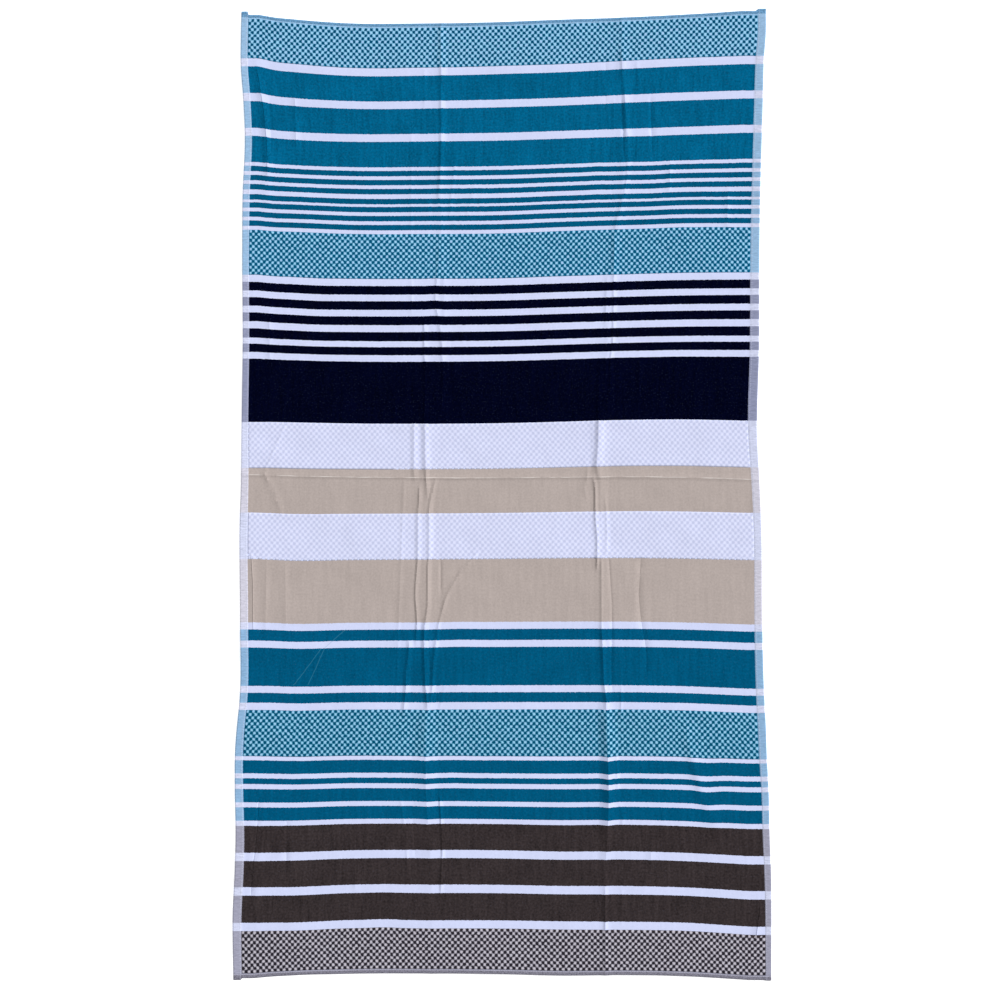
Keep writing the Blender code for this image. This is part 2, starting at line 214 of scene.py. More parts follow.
# The small creases, pressed in while it was packed. Each follows its route, (along, across) by
# (along, across), and fades out at both ends. A height below 0 is a crease pressed downwards.
Crease = namedtuple("Crease", "height left right route")
CREASES = [Crease(*row) for row in (
    # along the left fold
    (1.5, 5, 8, ((811, -106), (719, -105), (604, -105), (561, -106), (534, -108), (508, -110))),
    (1.5, 4, 7, ((420, -108), (358, -113), (325, -115), (299, -111), (272, -106), (246, -103),
     (186, -101), (150, -101), (130, -106))),
    (0.8, 5, 6, ((730, -135), (670, -134))),
    (1.8, 3.5, 8, ((290, -134), (246, -134), (186, -132), (134, -133), (120, -134))),
    (2.3, 7, 9, ((120, -134), (96, -132), (65, -132), (34, -131))),
    (1.8, 4, 7, ((34, -131), (11, -130), (-13, -128))),
    (1.0, 5, 5, ((360, -156), (305, -156))),
    (2.0, 7, 8, ((122, -151), (40, -151), (16, -150))),
    (2.1, 3.5, 7, ((13, -114), (1, -118), (-11, -121), (-35, -125))),
    (2.3, 5.5, 8, ((-35, -125), (-118, -125))),
    (2.1, 3.5, 7, ((-118, -125), (-133, -127), (-202, -127), (-225, -130))),
    (2.7, 6, 8, ((-225, -130), (-245, -133), (-279, -133), (-335, -131), (-356, -129), (-375, -127))),
    (2.1, 3.5, 6, ((0, -142), (-22, -142), (-38, -144))),
    (2.1, 5.5, 7, ((-38, -144), (-121, -144))),
    (2.1, 3.5, 6, ((-121, -144), (-145, -146), (-173, -148), (-190, -148), (-214, -146),
     (-236, -145), (-262, -148))),
    (-1.3, 4, 4, ((-124, -105), (-180, -105))),
    (0.8, 5, 5, ((-125, -61), (-142, -71), (-162, -85), (-178, -95), (-192, -103))),
    (2.5, 5, 5, ((-115, -44), (-147, -71), (-178, -90), (-193, -97), (-212, -102))),
    (1.7, 4.5, 5, ((-212, -102), (-234, -108), (-262, -112))),
    (2.6, 6, 6, ((-262, -112), (-301, -117), (-321, -118), (-347, -119), (-367, -122))),
    (2.6, 6, 7, ((-262, -158), (-292, -160), (-321, -164), (-347, -164), (-386, -168))),
    (0.9, 4, 4, ((-303, -88), (-321, -91), (-335, -95), (-371, -105))),
    (0.7, 5, 5, ((13, -168), (-180, -175), (-364, -181))),
    (0.6, 5, 5, ((617, -157), (447, -157))),
    (0.6, 7, 7, ((678, -36), (592, -77))),
    (0.8, 7, 7, ((534, -44), (476, -60), (447, -100))),
    (0.7, 4, 5, ((599, -77), (476, -91))),
    (1.2, 7, 7, ((212, -85), (189, -75), (172, -63), (151, -49))),
    (2.0, 3.4, 5.5, ((-530, -106), (-580, -103), (-623, -101), (-669, -103), (-690, -104))),
    (0.75, 4, 4, ((-530, -173), (-600, -163), (-650, -160))),
    (-0.72, 4, 4, ((-570, -152), (-628, -148))),
    # along the right fold
    (1.4, 4.5, 8, ((760, 209), (710, 210), (680, 214), (622, 217), (596, 220), (552, 219),
     (534, 217), (508, 214), (487, 208), (461, 199), (440, 196))),
    (-1.5, 4, 4, ((668, 208), (608, 211), (565, 212))),
    (-1.6, 5, 5, ((665, 259), (565, 262))),
    (0.8, 6, 6, ((735, 235), (692, 240))),
    (0.9, 5, 6, ((665, 195), (625, 195))),
    (-0.6, 4, 4, ((745, 181), (655, 181))),
    (1.0, 4, 6, ((358, 182), (325, 181), (280, 179))),
    (1.6, 3.5, 6, ((430, 195), (354, 194), (272, 193), (246, 192), (220, 188), (160, 187))),
    (2.0, 5, 10, ((176, 169), (151, 167), (134, 166), (120, 167))),
    (3.5, 7, 12, ((120, 167), (73, 166), (47, 164), (34, 163))),
    (2.0, 5, 9, ((34, 163), (18, 166))),
    (0.5, 4, 4, ((120, 157), (39, 157), (25, 158))),
    (1.2, 4, 4, ((32, 148), (6, 146))),
    (1.2, 4, 4, ((4, 141), (-18, 145))),
    (2.4, 3.5, 5, ((11, 158), (-3, 161), (-49, 161), (-66, 162), (-85, 164), (-125, 164), (-140, 163))),
    (1.2, 4, 4, ((-22, 178), (-49, 180), (-78, 181), (-114, 180))),
    (1.2, 4, 4, ((-124, 171), (-240, 171))),
    (2.4, 6, 5, ((-240, 171), (-284, 173), (-335, 175), (-375, 180))),
    (-1.1, 4, 3.5, ((-122, 184), (-154, 186), (-202, 189), (-240, 189))),
    (-1.6, 4, 5, ((-240, 189), (-296, 188), (-345, 188))),
    (-1.5, 4.5, 4, ((-125, 239), (-159, 237), (-185, 235), (-221, 238), (-241, 241), (-262, 245),
     (-282, 248), (-318, 248))),
    (0.7, 4, 4, ((-300, 207), (-336, 203))),
    (1.0, 3, 3, ((-344, 205), (-390, 204))),
    (1.1, 4, 5, ((224, 238), (151, 237))),
    (0.9, 4, 4, ((175, 209), (116, 213))),
    (0.9, 4, 5, ((-452, 196), (-528, 198), (-556, 205), (-615, 208))),
    (1.05, 6, 6, ((-576, 254), (-645, 254))),
    (1.65, 4, 5, ((-688, 176), (-822, 176))),
    (1.0, 4, 4, ((-692, 204), (-738, 204))),
    (1.7, 7, 6, ((560, 293), (505, 291))),
    (1.7, 7, 6, ((506, 392), (440, 391))),
    (2.6, 3.5, 3.5, ((-703, 440), (-720, 438), (-745, 434), (-760, 432))),
    # towards the left edge
    (1.8, 3.5, 5, ((722, -428), (699, -422), (645, -413), (587, -407), (542, -407))),
    (-0.72, 4, 4, ((664, -404), (580, -400))),
    (0.75, 4, 4, ((606, -428), (556, -428))),
    (1.2, 4, 5, ((684, -360), (588, -357))),
    (1.05, 4, 5, ((304, -402), (162, -400))),
    (1.05, 4, 5, ((228, -350), (181, -351), (112, -324))),
    (1.3, 2.4, 3, ((116, -370), (25, -409))),
    (1.8, 5, 6, ((24, -409), (10, -402), (-10, -391), (-42, -381))),
    (1.6, 2.6, 3.2, ((-118, -430), (-165, -427), (-242, -426))),
    (0.8, 6, 6, ((-122, -404), (-240, -405))),
    (0.7, 5, 5, ((-130, -372), (-236, -370))),
    (-1.7, 3, 3.5, ((-528, -415), (-578, -417), (-620, -421), (-639, -424), (-679, -427),
     (-692, -427))),
    (-1.16, 4, 4, ((-566, -367), (-674, -367))),
    (1.05, 4, 4, ((-636, -250), (-684, -250))),
)]
CREASE_FADE = 14.0  # the run over which a small crease dies away

# The cloth never lies dead flat: long low swells between the folds, and shorter puckers.
Swell = namedtuple("Swell", "count shortest longest height")
SWELLS = (Swell(24, 90.0, 320.0, 0.9), Swell(30, 22.0, 80.0, 0.22))


def flow(places, stations, values):
    """A smooth curve through a table's values, level past its ends.

    values holds a number for each station, or a row of numbers, one for each place."""
    stations = np.asarray(stations, float)
    values = np.asarray(values, float)
    places = np.asarray(places, float)
    if values.ndim == 1:
        values = np.repeat(values[:, None], places.size, axis=1)
    slopes = np.gradient(values, stations, axis=0)
    flat = places.ravel()
    point = np.arange(flat.size)
    before = np.clip(np.searchsorted(stations, flat) - 1, 0, len(stations) - 2)
    step = stations[before + 1] - stations[before]
    t = np.clip((flat - stations[before]) / step, 0.0, 1.0)
    start, end = values[before, point], values[before + 1, point]
    lean, lean_end = slopes[before, point] * step, slopes[before + 1, point] * step
    rise = t * t * (3 - 2 * t)
    curve = start + (end - start) * rise + lean * t * (1 - t) ** 2 - lean_end * t * t * (1 - t)
    return curve.reshape(places.shape)


def column(table, name):
    """One named column of a table."""
    return [getattr(row, name) for row in table]


def read(table, key, places, *names):
    """Named columns of a table as smooth curves, read at places along its key column."""
    stations = column(table, key)
    return [flow(places, stations, column(table, name)) for name in names]


def side_hems(along):
    """The left edge, its hem's foot, the right hem's foot and the right edge at each row."""
    left, right, left_hem, right_hem = read(EDGES, "along", along, *Edge._fields[1:])
    left, right = LOW[0] + left, HIGH[0] - right
    return left, left + left_hem + HEM_STEP, right - right_hem - HEM_STEP, right


def bow(across, along):
    """How far the weft thread at each place lies towards the teal end of a straight line."""
    stations = column(WEFT_BOW, "along")
    rows = np.array(column(WEFT_BOW, "lift"))
    here = [flow(along, stations, rows[:, i]).ravel() for i in range(len(BOW_PLACES))]
    return flow(across, BOW_PLACES, np.array(here))


def pulled(across, along):
    """How far the folds pull the weft thread at each place towards the teal end."""
    shift = np.zeros_like(across)
    for pull in PULLS:
        up = (along - pull.along) / pull.along_reach
        aside = (across - pull.across) / pull.across_reach
        shift += pull.shift * np.exp(-(up**2) - aside**2)
    return shift


def flank(distance, before, after, height, sharpness=CREST_SHARPNESS):
    """The height of a fold at a signed distance from its crest."""
    width = np.where(distance < 0, before, after)
    return height * np.clip(1.0 - np.abs(distance) / width, 0.0, None) ** sharpness


def long_fold_height(fold, across, along):
    crest, height, left, right = read(fold, "along", along, *Crest._fields[1:])
    return flank(across - crest, left, right, np.clip(height, 0.0, None))


def cross_fold_height(across, along):
    crest, height, teal, brown = read(CROSS_FOLD, "across", across, *Ridge._fields[1:])
    return flank(along - crest, brown, teal, height)


def crease_across(crease, along):
    """Where a small crease lies across the cloth."""
    route = sorted(crease.route)
    return np.interp(along, [stop[0] for stop in route], [stop[1] for stop in route])


def crease_strength(crease, along):
    """1 along a small crease, and fading to 0 past its ends."""
    ends = [stop[0] for stop in crease.route]
    inside = np.minimum(along - min(ends), max(ends) - along)
    return np.clip(inside / CREASE_FADE + 0.5, 0.0, 1.0)


def crease_height(crease, across, along):
    distance = across - crease_across(crease, along)
    fold = flank(distance, crease.left, crease.right, crease.height, CREASE_SHARPNESS)
    return crease_strength(crease, along) * fold


def swell_height(across, along):
    """Long low swells and short puckers, never below the surface."""
    draw = np.random.default_rng(SEED)
    lift = np.zeros_like(across)
    for swell in SWELLS:
        total = np.zeros_like(across)
        for _ in range(swell.count):
            heading = draw.uniform(0.0, math.pi)
            length = draw.uniform(swell.shortest, swell.longest)
            phase = draw.uniform(0.0, 2 * math.pi)
            run = across * math.cos(heading) + along * math.sin(heading)
            total += np.sin(2 * math.pi * run / length + phase) * length / swell.longest
        lift += swell.height * (0.5 + total / math.sqrt(swell.count))
    return np.clip(lift, 0.0, None)


def folded_height(across, along):
    """How far the long folds lift the cloth."""
    return sum(long_fold_height(fold, across, along) for fold in LONG_FOLDS)


def underside_height(across, along):
    """How far the cloth's underside is lifted off the surface."""
    lift = folded_height(across, along) + cross_fold_height(across, along) + swell_height(across, along)
    for crease in CREASES:
        if crease.height > 0:
            lift += crease_height(crease, across, along)
    return lift


def pressed_down(across, along):
    """How far the creases pressed downwards sink into the cloth's face."""
    return sum(crease_height(crease, across, along) for crease in CREASES if crease.height < 0)


def carried(places, knots, others):
    """Carry places from one run of knots to another, stretched evenly between them."""
    there = others[0]
    for i in range(len(knots) - 1):
        share = np.clip((places - knots[i]) / (knots[i + 1] - knots[i]), 0.0, 1.0)
        there = there + share * (others[i + 1] - others[i])
    return there


def thread(across, along):
    """Which warp thread lies at a place: its distance from the middle one as woven."""
    return carried(across, side_hems(along), HEM_THREADS)


def across_of(warp, along):
    """Where a warp thread lies across the towel."""
    return carried(warp, HEM_THREADS, side_hems(along))


def ear(warp, along):
    """How far the side hems stick out past the end hems."""
    in_hem = np.clip((np.abs(warp) - HEM_FOOT) / HEM_STEP, 0.0, 1.0)
    out = np.where(along > 0, np.where(warp < 0, *EAR_TEAL), -np.where(warp < 0, *EAR_BROWN))
    reach = np.where(along > 0, along - (TEAL_END - END_HEM), (BROWN_END + END_HEM) - along)
    return in_hem * out * np.clip(reach / END_HEM, 0.0, 1.0)


def thickness(warp, along):
    """The cloth's own thickness: hems doubled, rounded at the edge and pinched by stitches."""
    side = HALF_CUT - np.abs(warp)
    end = np.minimum(TEAL_END - along, along - BROWN_END)
    doubled = np.maximum(
        np.clip((HEM_REACH - side) / HEM_STEP, 0.0, 1.0),
        np.clip((END_HEM + HEM_STEP - end) / HEM_STEP, 0.0, 1.0),
    )
    pinch = np.exp(-((end - END_HEM + STITCH_INSET) ** 2))
    rounded = np.clip(1.0 - np.minimum(side, end) / ROUNDING, 0.0, 1.0) ** 2
    return CLOTH_THICK + HEM_EXTRA * doubled - STITCH_PINCH * pinch - FACE_ROUND * rounded


def face(across, along):
    """Points on the cloth's upper face, in metres."""
    warp = thread(across, along)
    top = underside_height(across, along) + thickness(warp, along) + pressed_down(across, along)
    shift = bow(across, along) + pulled(across, along) + ear(warp, along)
    shift -= FOLD_SLIP * folded_height(across, along)
    return np.stack([across, along + shift, top], axis=-1) * MM


# ---- Building meshes ----------------------------------------------------------------------

OPEN_STEP = 4.2  # the grid's columns, in the open and beside the two main folds
FOLD_STEP = 1.6

# Each stretch of the cloth from side hem to side hem, parted by the two main folds: its usual
# width, and how many fine columns it has at its left and right, more where creases spread.
Stretch = namedtuple("Stretch", "width fine_left fine_right")
STRETCHES = (Stretch(325.0, 0, 34), Stretch(305.0, 44, 16), Stretch(250.0, 32, 0))
ROW_STEP = 8.8
SLANT_STEP = 3.8  # the rows are finer where a crease runs off slantwise
SLANT_BAND = (-235.0, -124.0)
CROSS_FOLD_STEP = 2.0
CROSS_FOLD_LINES = 4  # fine rows on each side of the cross fold's crest
LEAN_REACH = 120.0  # how far from the towel's middle the rows lean with the cross fold
CREASE_GAP = 1.4  # the grid's lines on both sides of a small crease
CREASE_SHOWS = 0.2  # how strong a crease has to be for the grid to follow it
SLANTING = 0.35  # a crease slants if it runs this far across for each millimetre along
CREASE_ANGLE = 17.0  # creases sharper than this, in degrees, catch the light as an edge
GROUND_DROP = 0.5  # the ground cloth lies this much lower under a raised band
DROP_RUN = 1.0  # and gets there within this much of its borders

# The grid's lines in the hems: as shares of the way from a long edge to its hem's foot, and in
# millimetres from either end.
HEM_SHARES = (0.0, 0.05, 0.12, 0.22, 0.5, 0.72, 0.81, 0.89, 1.0)
END_PLACES = (0.0, 0.7, 1.6, 3.0, 5.0, 6.5, 8.0, 9.5)


def filled(places, step):
    """Places with enough more between them that no gap is wider than a step."""
    made = [places[0]]
    for place in places[1:]:
        pieces = max(1, math.ceil((place - made[-1]) / step - 0.01))
        made += list(np.linspace(made[-1], place, pieces + 1)[1:])
    return made


def shares(stretch):
    """How a stretch is divided: close beside a fold, wider in the open."""
    fine_left, fine_right = [FOLD_STEP] * stretch.fine_left, [FOLD_STEP] * stretch.fine_right
    open_width = stretch.width - sum(fine_left) - sum(fine_right)
    wide = round(open_width / OPEN_STEP)
    steps = fine_left + [open_width / wide] * wide + fine_right
    return np.cumsum(steps) / sum(steps)


def column_lines(along):
    """Where the grid's columns cross each row: they follow the hems and the two main folds."""
    left, left_foot, right_foot, right = side_hems(along)
    folds = [read(fold, "along", along, "across")[0] for fold in (LEFT_FOLD, RIGHT_FOLD)]
    lines = [left + (left_foot - left) * share for share in HEM_SHARES]
    limits = (lines[-1], *folds, right_foot)
    for stretch, start, end in zip(STRETCHES, limits, limits[1:]):
        lines += [start + (end - start) * share for share in shares(stretch)]
    lines += [right - (right - right_foot) * share for share in HEM_SHARES[-2::-1]]
    return np.stack(lines, axis=1)


def row_lines():
    """The grid's rows along the middle of the cloth: hems, band borders and the cross fold."""
    crest = FOLD_MIDDLE
    reach = CROSS_FOLD_STEP * CROSS_FOLD_LINES
    near_fold = [crest + CROSS_FOLD_STEP * i for i in range(-CROSS_FOLD_LINES, CROSS_FOLD_LINES + 1)]
    hems = [TEAL_END - place for place in END_PLACES] + [BROWN_END + place for place in END_PLACES]
    borders = [place for band in RAISED_BANDS for place in (band.high, band.low)]
    borders = [place for place in borders if abs(place - crest) > reach]
    borders = [place for place in borders if min(abs(place - hem) for hem in hems) > ROW_STEP / 2]
    slanting = filled(SLANT_BAND, SLANT_STEP)
    rows = filled(sorted(hems + borders + near_fold + slanting), ROW_STEP)
    if len(rows) % 2 == 0:
        rows.insert(-len(END_PLACES), (rows[-len(END_PLACES)] + rows[-len(END_PLACES) - 1]) / 2)
    return np.array(rows)


def lean_to_cross_fold(across, along):
    """The rows near the cross fold follow it, and the rest lie straight."""
    reach = np.clip(1.0 - np.abs(along) / LEAN_REACH, 0.0, 1.0)
    crest = read(CROSS_FOLD, "across", across, "along")[0]
    return reach * (crest - FOLD_MIDDLE)


def snap_to_creases(across, along):
    """Move grid lines onto each upright crease and close beside it, so that its crest is sharp."""
    rows = np.arange(across.shape[0])
    for crease in CREASES:
        if slant(crease) > SLANTING:
            continue
        crest = crease_across(crease, along[:, 0])
        live = crease_strength(crease, along[:, 0]) > CREASE_SHOWS
        near = np.abs(across - crest[:, None]).argmin(axis=1)
        for beside in (-1, 0, 1):
            across[rows[live], near[live] + beside] = crest[live] + beside * CREASE_GAP
    across.sort(axis=1)


def slant(crease):
    """How far a crease runs across the cloth for each millimetre along it."""
    along, across = zip(*crease.route)
    return (max(across) - min(across)) / (max(along) - min(along))


def lay_map(mesh, warp, along):
    """A UV map in metres on the cloth, so that every pattern follows the threads."""
    across_uv = np.asarray(warp).ravel() * MM
    along_uv = np.asarray(along).ravel() * MM
    corners = np.empty(len(mesh.loops), dtype=np.int32)
    mesh.loops.foreach_get("vertex_index", corners)
    layer = mesh.uv_layers.new(name="cloth")
    layer.uv.foreach_set("vector", np.stack([across_uv[corners], along_uv[corners]], axis=1).ravel())


def placed(name, data):
    """An object of a mesh, a lamp or a lens, put in the scene."""
    made = bpy.data.objects.new(name, data)
    bpy.context.scene.collection.objects.link(made)
    return made


def grid_faces(rows, columns):
    """The corners of a grid's quads, turned to face up."""
    first = (np.arange(rows - 1)[:, None] * columns + np.arange(columns - 1)).ravel()
    return np.stack([first, first + 1, first + columns + 1, first + columns], axis=1)


def in_raised_band(warp, along):
    """1 well inside a raised band, where the ground cloth lies lower."""
    inside = np.zeros_like(along)
    for band in RAISED_BANDS:
        inside = np.maximum(inside, (along < band.high - DROP_RUN) & (along > band.low + DROP_RUN))
    return inside * (np.abs(warp) < HEM_FOOT - HEM_STEP)


def ground_cloth(materials):
    """The whole cloth as one closed sheet, with its underside at half the face's fineness."""
    rows = row_lines()
    across = column_lines(rows)
    along = rows[:, None] + lean_to_cross_fold(across, np.broadcast_to(rows[:, None], across.shape))
    snap_to_creases(across, along)
    warp = thread(across, along)
    top = face(across, along)
    top[..., 2] -= GROUND_DROP * MM * in_raised_band(warp, along)
    below = top[::2, ::2].copy()
    rounded = np.clip(1.0 - (HALF_CUT - np.abs(warp[::2, ::2])) / ROUNDING, 0.0, 1.0) ** 2
    lifted = underside_height(across[::2, ::2], along[::2, ::2]) + UNDER_ROUND * rounded
    below[..., 2] = lifted * MM

    height, width = across.shape
    low_height, low_width = below.shape[:2]
    shift = height * width
    faces = grid_faces(height, width).tolist()
    underside = grid_faces(low_height, low_width)[:, ::-1] + shift
    face_count = len(faces)
    faces += underside.tolist()
    up = np.arange(shift).reshape(height, width)
    down = np.arange(low_height * low_width).reshape(low_height, low_width) + shift
    rims = [(side[0], side[:, -1], side[-1, ::-1], side[::-1, 0]) for side in (up, down)]
    for over, under in zip(*rims):
        for i in range(len(under) - 1):
            faces.append([under[i], under[i + 1], over[2 * i + 2], over[2 * i + 1], over[2 * i]])

    mesh = bpy.data.meshes.new("towel_cloth")
    mesh.from_pydata(np.concatenate([top.reshape(-1, 3), below.reshape(-1, 3)]).tolist(), [], faces)
    lay_map(mesh, np.append(warp, warp[::2, ::2]), np.append(along, along[::2, ::2]))
    for material in materials:
        mesh.materials.append(material)
    is_under = np.zeros(len(faces), dtype=np.int32)
    is_under[face_count : face_count + len(underside)] = 1
    mesh.polygons.foreach_set("material_index", is_under)
    mesh.shade_smooth()
    mesh.set_sharp_from_angle(angle=math.radians(CREASE_ANGLE))
    mesh.update()
    return placed("towel_cloth", mesh)


# ---- Geometry Nodes -----------------------------------------------------------------------

BACKING_THICK = 1.0  # how much cloth a raised band has under its face
SIDE_THREAD = 0.6  # the side hems are sewn with a finer thread than the end hems
LONG_STATIONS, SHORT_STATIONS = 500, 300  # the places that guide a stitch row, along and across


def add(tree, kind, inputs=None, out=0, **settings):
    """Add a node, set its properties, fill or link its inputs, and give back one output."""
    made = tree.nodes.new(kind)
    for name, value in settings.items():
        setattr(made, name, value)
    for socket, value in (inputs or {}).items():
        if isinstance(value, bpy.types.NodeSocket):
            tree.links.new(value, made.inputs[socket])
        else:
            made.inputs[socket].default_value = value
    return made.outputs[out]


def swayed(tree, value, tone, depth):
    """A value moved up or down by up to half a depth, by a tone from 0 to 1."""
    centred = add(tree, "ShaderNodeMath", {0: tone, 1: 0.5}, operation="SUBTRACT")
    return add(tree, "ShaderNodeMath", {0: centred, 1: depth, 2: value}, operation="MULTIPLY_ADD")


def new_group(name, sizes):
    """A geometry node group with a mesh in, a mesh out, a material and named sizes."""
    tree = bpy.data.node_groups.new(name, "GeometryNodeTree")
    tree.interface.new_socket("Geometry", in_out="OUTPUT", socket_type="NodeSocketGeometry")
    tree.interface.new_socket("Geometry", in_out="INPUT", socket_type="NodeSocketGeometry")
    tree.interface.new_socket("Material", in_out="INPUT", socket_type="NodeSocketMaterial")
    for size, value in sizes.items():
        made = tree.interface.new_socket(size, in_out="INPUT", socket_type="NodeSocketFloat")
        made.default_value = value
    return tree, tree.nodes.new("NodeGroupInput").outputs


def end_group(tree, given, geometry):
    """Close a group: instances made real, its material set, and the result put out."""
    real = add(tree, "GeometryNodeRealizeInstances", {0: geometry})
    coloured = add(tree, "GeometryNodeSetMaterial", {"Geometry": real, "Material": given["Material"]})
    tree.links.new(coloured, tree.nodes.new("NodeGroupOutput").inputs[0])


def raised_weave_group():
    """Lifts a patch of cloth in checks: up over the floats, down into the pits between them."""
    tree, given = new_group("raised_weave", {"Relief": 0.3 * MM, "Unevenness": 0.25, "Seed": float(SEED)})
    cells = add(tree, "GeometryNodeInputNamedAttribute", {"Name": "cell"}, data_type="FLOAT_VECTOR")
    split = add(tree, "ShaderNodeSeparateXYZ", {0: cells}).node
    waves = []
    for part in split.outputs[:2]:
        turned = add(tree, "ShaderNodeMath", {0: part, 1: math.pi}, operation="MULTIPLY")
        waves.append(add(tree, "ShaderNodeMath", {0: turned}, operation="SINE"))
    check = add(tree, "ShaderNodeMath", {0: waves[0], 1: waves[1]}, operation="MULTIPLY")
    cushions = {"Vector": cells, "W": given["Seed"], "Scale": 0.9}
    tone = add(tree, "ShaderNodeTexNoise", cushions, noise_dimensions="4D")
    uneven = swayed(tree, 1.0, tone, given["Unevenness"])
    lift = add(tree, "ShaderNodeMath", {0: check, 1: given["Relief"]}, operation="MULTIPLY")
    lift = add(tree, "ShaderNodeMath", {0: lift, 1: uneven}, operation="MULTIPLY")
    normal = add(tree, "GeometryNodeInputNormal")
    offset = add(tree, "ShaderNodeVectorMath", {0: normal, "Scale": lift}, operation="SCALE")
    raised = add(tree, "GeometryNodeSetPosition", {"Geometry": given["Geometry"], "Offset": offset})
    end_group(tree, given, raised)
    return tree


def stitch_row_group():
    """Lays a stitch at every pitch of a line: a short rounded float of thread."""
    sizes = {"Pitch": 4.2 * MM, "Stitch length": 3.7 * MM, "Thread": 0.9 * MM}
    tree, given = new_group("stitch_row", sizes)
    line = add(tree, "GeometryNodeMeshToCurve", {0: given["Geometry"]})
    spaced = add(tree, "GeometryNodeResampleCurve", {"Curve": line, "Length": given["Pitch"]}, mode="LENGTH")
    float_of_thread = add(tree, "GeometryNodeMeshUVSphere", {"Segments": 6, "Rings": 4, "Radius": 0.5})
    size = add(
        tree, "ShaderNodeCombineXYZ", {0: given["Thread"], 1: given["Thread"], 2: given["Stitch length"]}
    )
    stitch = add(tree, "GeometryNodeTransform", {"Geometry": float_of_thread, "Scale": size})
    heading = add(tree, "GeometryNodeInputTangent")
    turn = add(tree, "FunctionNodeAlignRotationToVector", {"Vector": heading}, axis="Z")
    sewn = add(
        tree, "GeometryNodeInstanceOnPoints", {"Points": spaced, "Instance": stitch, "Rotation": turn}
    )
    smooth = add(tree, "GeometryNodeSetShadeSmooth", {0: sewn})
    end_group(tree, given, smooth)
    return tree


def grown(name, mesh, group, material, **sizes):
    """A plain mesh object made by running a geometry node group on a mesh."""
    seed_object = placed(name + "_seed", mesh)
    grow = seed_object.modifiers.new("grow", "NODES")
    grow.node_group = group
    sizes["Material"] = material
    for socket in group.interface.items_tree:
        if socket.in_out == "INPUT" and socket.name in sizes:
            grow[socket.identifier] = sizes[socket.name]
    if mesh.polygons:
        backing = seed_object.modifiers.new("backing", "SOLIDIFY")
        backing.thickness = BACKING_THICK * MM
        backing.offset = -1.0
    evaluated = seed_object.evaluated_get(bpy.context.evaluated_depsgraph_get())
    made = bpy.data.meshes.new_from_object(evaluated)
    made.name = name
    bpy.data.objects.remove(seed_object)
    return placed(name, made)


def raised_band(name, band, group, material):
    """One check or relief band: a patch with two grid lines to each check, lifted by the group."""
    rows = check_rows(band)
    warp_lines = np.linspace(-HEM_FOOT, HEM_FOOT, 2 * CHECK_COLUMNS + 1)
    along_lines = np.linspace(band.low, band.high, 2 * rows + 1)
    warp, along = np.meshgrid(warp_lines, along_lines)
    across = across_of(warp, along)
    snap_to_creases(across, along)
    warp = thread(across, along)
    mesh = bpy.data.meshes.new(name + "_patch")
    points = face(across, along).reshape(-1, 3)
    mesh.from_pydata(points.tolist(), [], grid_faces(*warp.shape).tolist())
    lay_map(mesh, warp, along)
    cell = mesh.attributes.new("cell", "FLOAT_VECTOR", "POINT")
    counts = np.zeros((warp.size, 3))
    counts[:, 0] = np.tile(np.arange(warp.shape[1]) / 2, warp.shape[0])
    counts[:, 1] = np.repeat(np.arange(warp.shape[0]) / 2, warp.shape[1])
    cell.data.foreach_set("vector", counts.ravel())
    mesh.shade_smooth()
    return grown(name, mesh, group, material)


def stitch_line(name, warp, along, group, material, **sizes):
    """A row of stitches through places on the cloth, half sunk in its face."""
    mesh = bpy.data.meshes.new(name + "_line")
    points = face(across_of(warp, along), along).reshape(-1, 3)
    edges = [(i, i + 1) for i in range(len(points) - 1)]
    mesh.from_pydata(points.tolist(), edges, [])
    return grown(name, mesh, group, material, **sizes)


# ---- Materials ----------------------------------------------------------------------------

# The yarns: the colour of the face where each is woven in, the paler mix that it gives in the
# plain-woven hems and on the back, where as much white warp shows, and how mottled it looks.
Yarn = namedtuple("Yarn", "face mix mottle")
YARNS = {
    "white": Yarn("D0D7F7", "D5DAF4", 0.08),
    "teal": Yarn("025F87", "9ABEE0", 0.6),
    "deep_teal": Yarn("01557A", "90B6DA", 0.42),
    "navy": Yarn("02041A", "9297B4", 0.95),
    "beige": Yarn("B3A7A2", "D3D1E0", 0.17),
    "brown": Yarn("362F30", "A2A2B6", 0.8),
}
TEAL_HEM = "6795BB"  # the turned edges of the two end hems
BROWN_HEM = "7C7A88"
HEM_SHADE_TONES = (0.99, 0.90)  # painted shade: the left hem is a little paler than the right, the right one shaded as if turned from the light
HEM_SHOWS = 0.2  # a side hem's mix shows from this far past its foot, give or take its wander
HEM_WANDER = 1.2
STEP_DEPTH = 1.8  # how far the stripes' borders wander along the cloth

# The mottling of the face: each grain's size across and along the cloth, and its share. The long streaks, 7
# across and 60 along, are painted shade standing in for small puckers; the rest is the yarn's own
# unevenness.
Mottle = namedtuple("Mottle", "across along detail share")
MOTTLES = (
    Mottle(3.4, 3.8, 3.0, 0.5), Mottle(7.0, 60.0, 2.0, 0.27),
    Mottle(18.0, 2.6, 2.0, 0.11), Mottle(60.0, 40.0, 2.0, 0.12),
)
WARP_SHOWING = "9CACD8"
WARP_SPECK = 0.035  # how much of the white warp a speck lets through

FOLD_HIGHLIGHT_AND_WARP = "EEE8E4"  # painted highlight along the cross fold's crest, partly the white warp showing where it was pressed
FOLD_HIGHLIGHT_SHOWS = 0.65  # how far it shows, half how wide, and how far it wanders
FOLD_HIGHLIGHT_HALF = 0.55
FOLD_WANDER = 2.4
FOLD_LEAN = (CROSS_FOLD[-1].along - CROSS_FOLD[0].along) / (2 * CROSS_FOLD[-1].across)
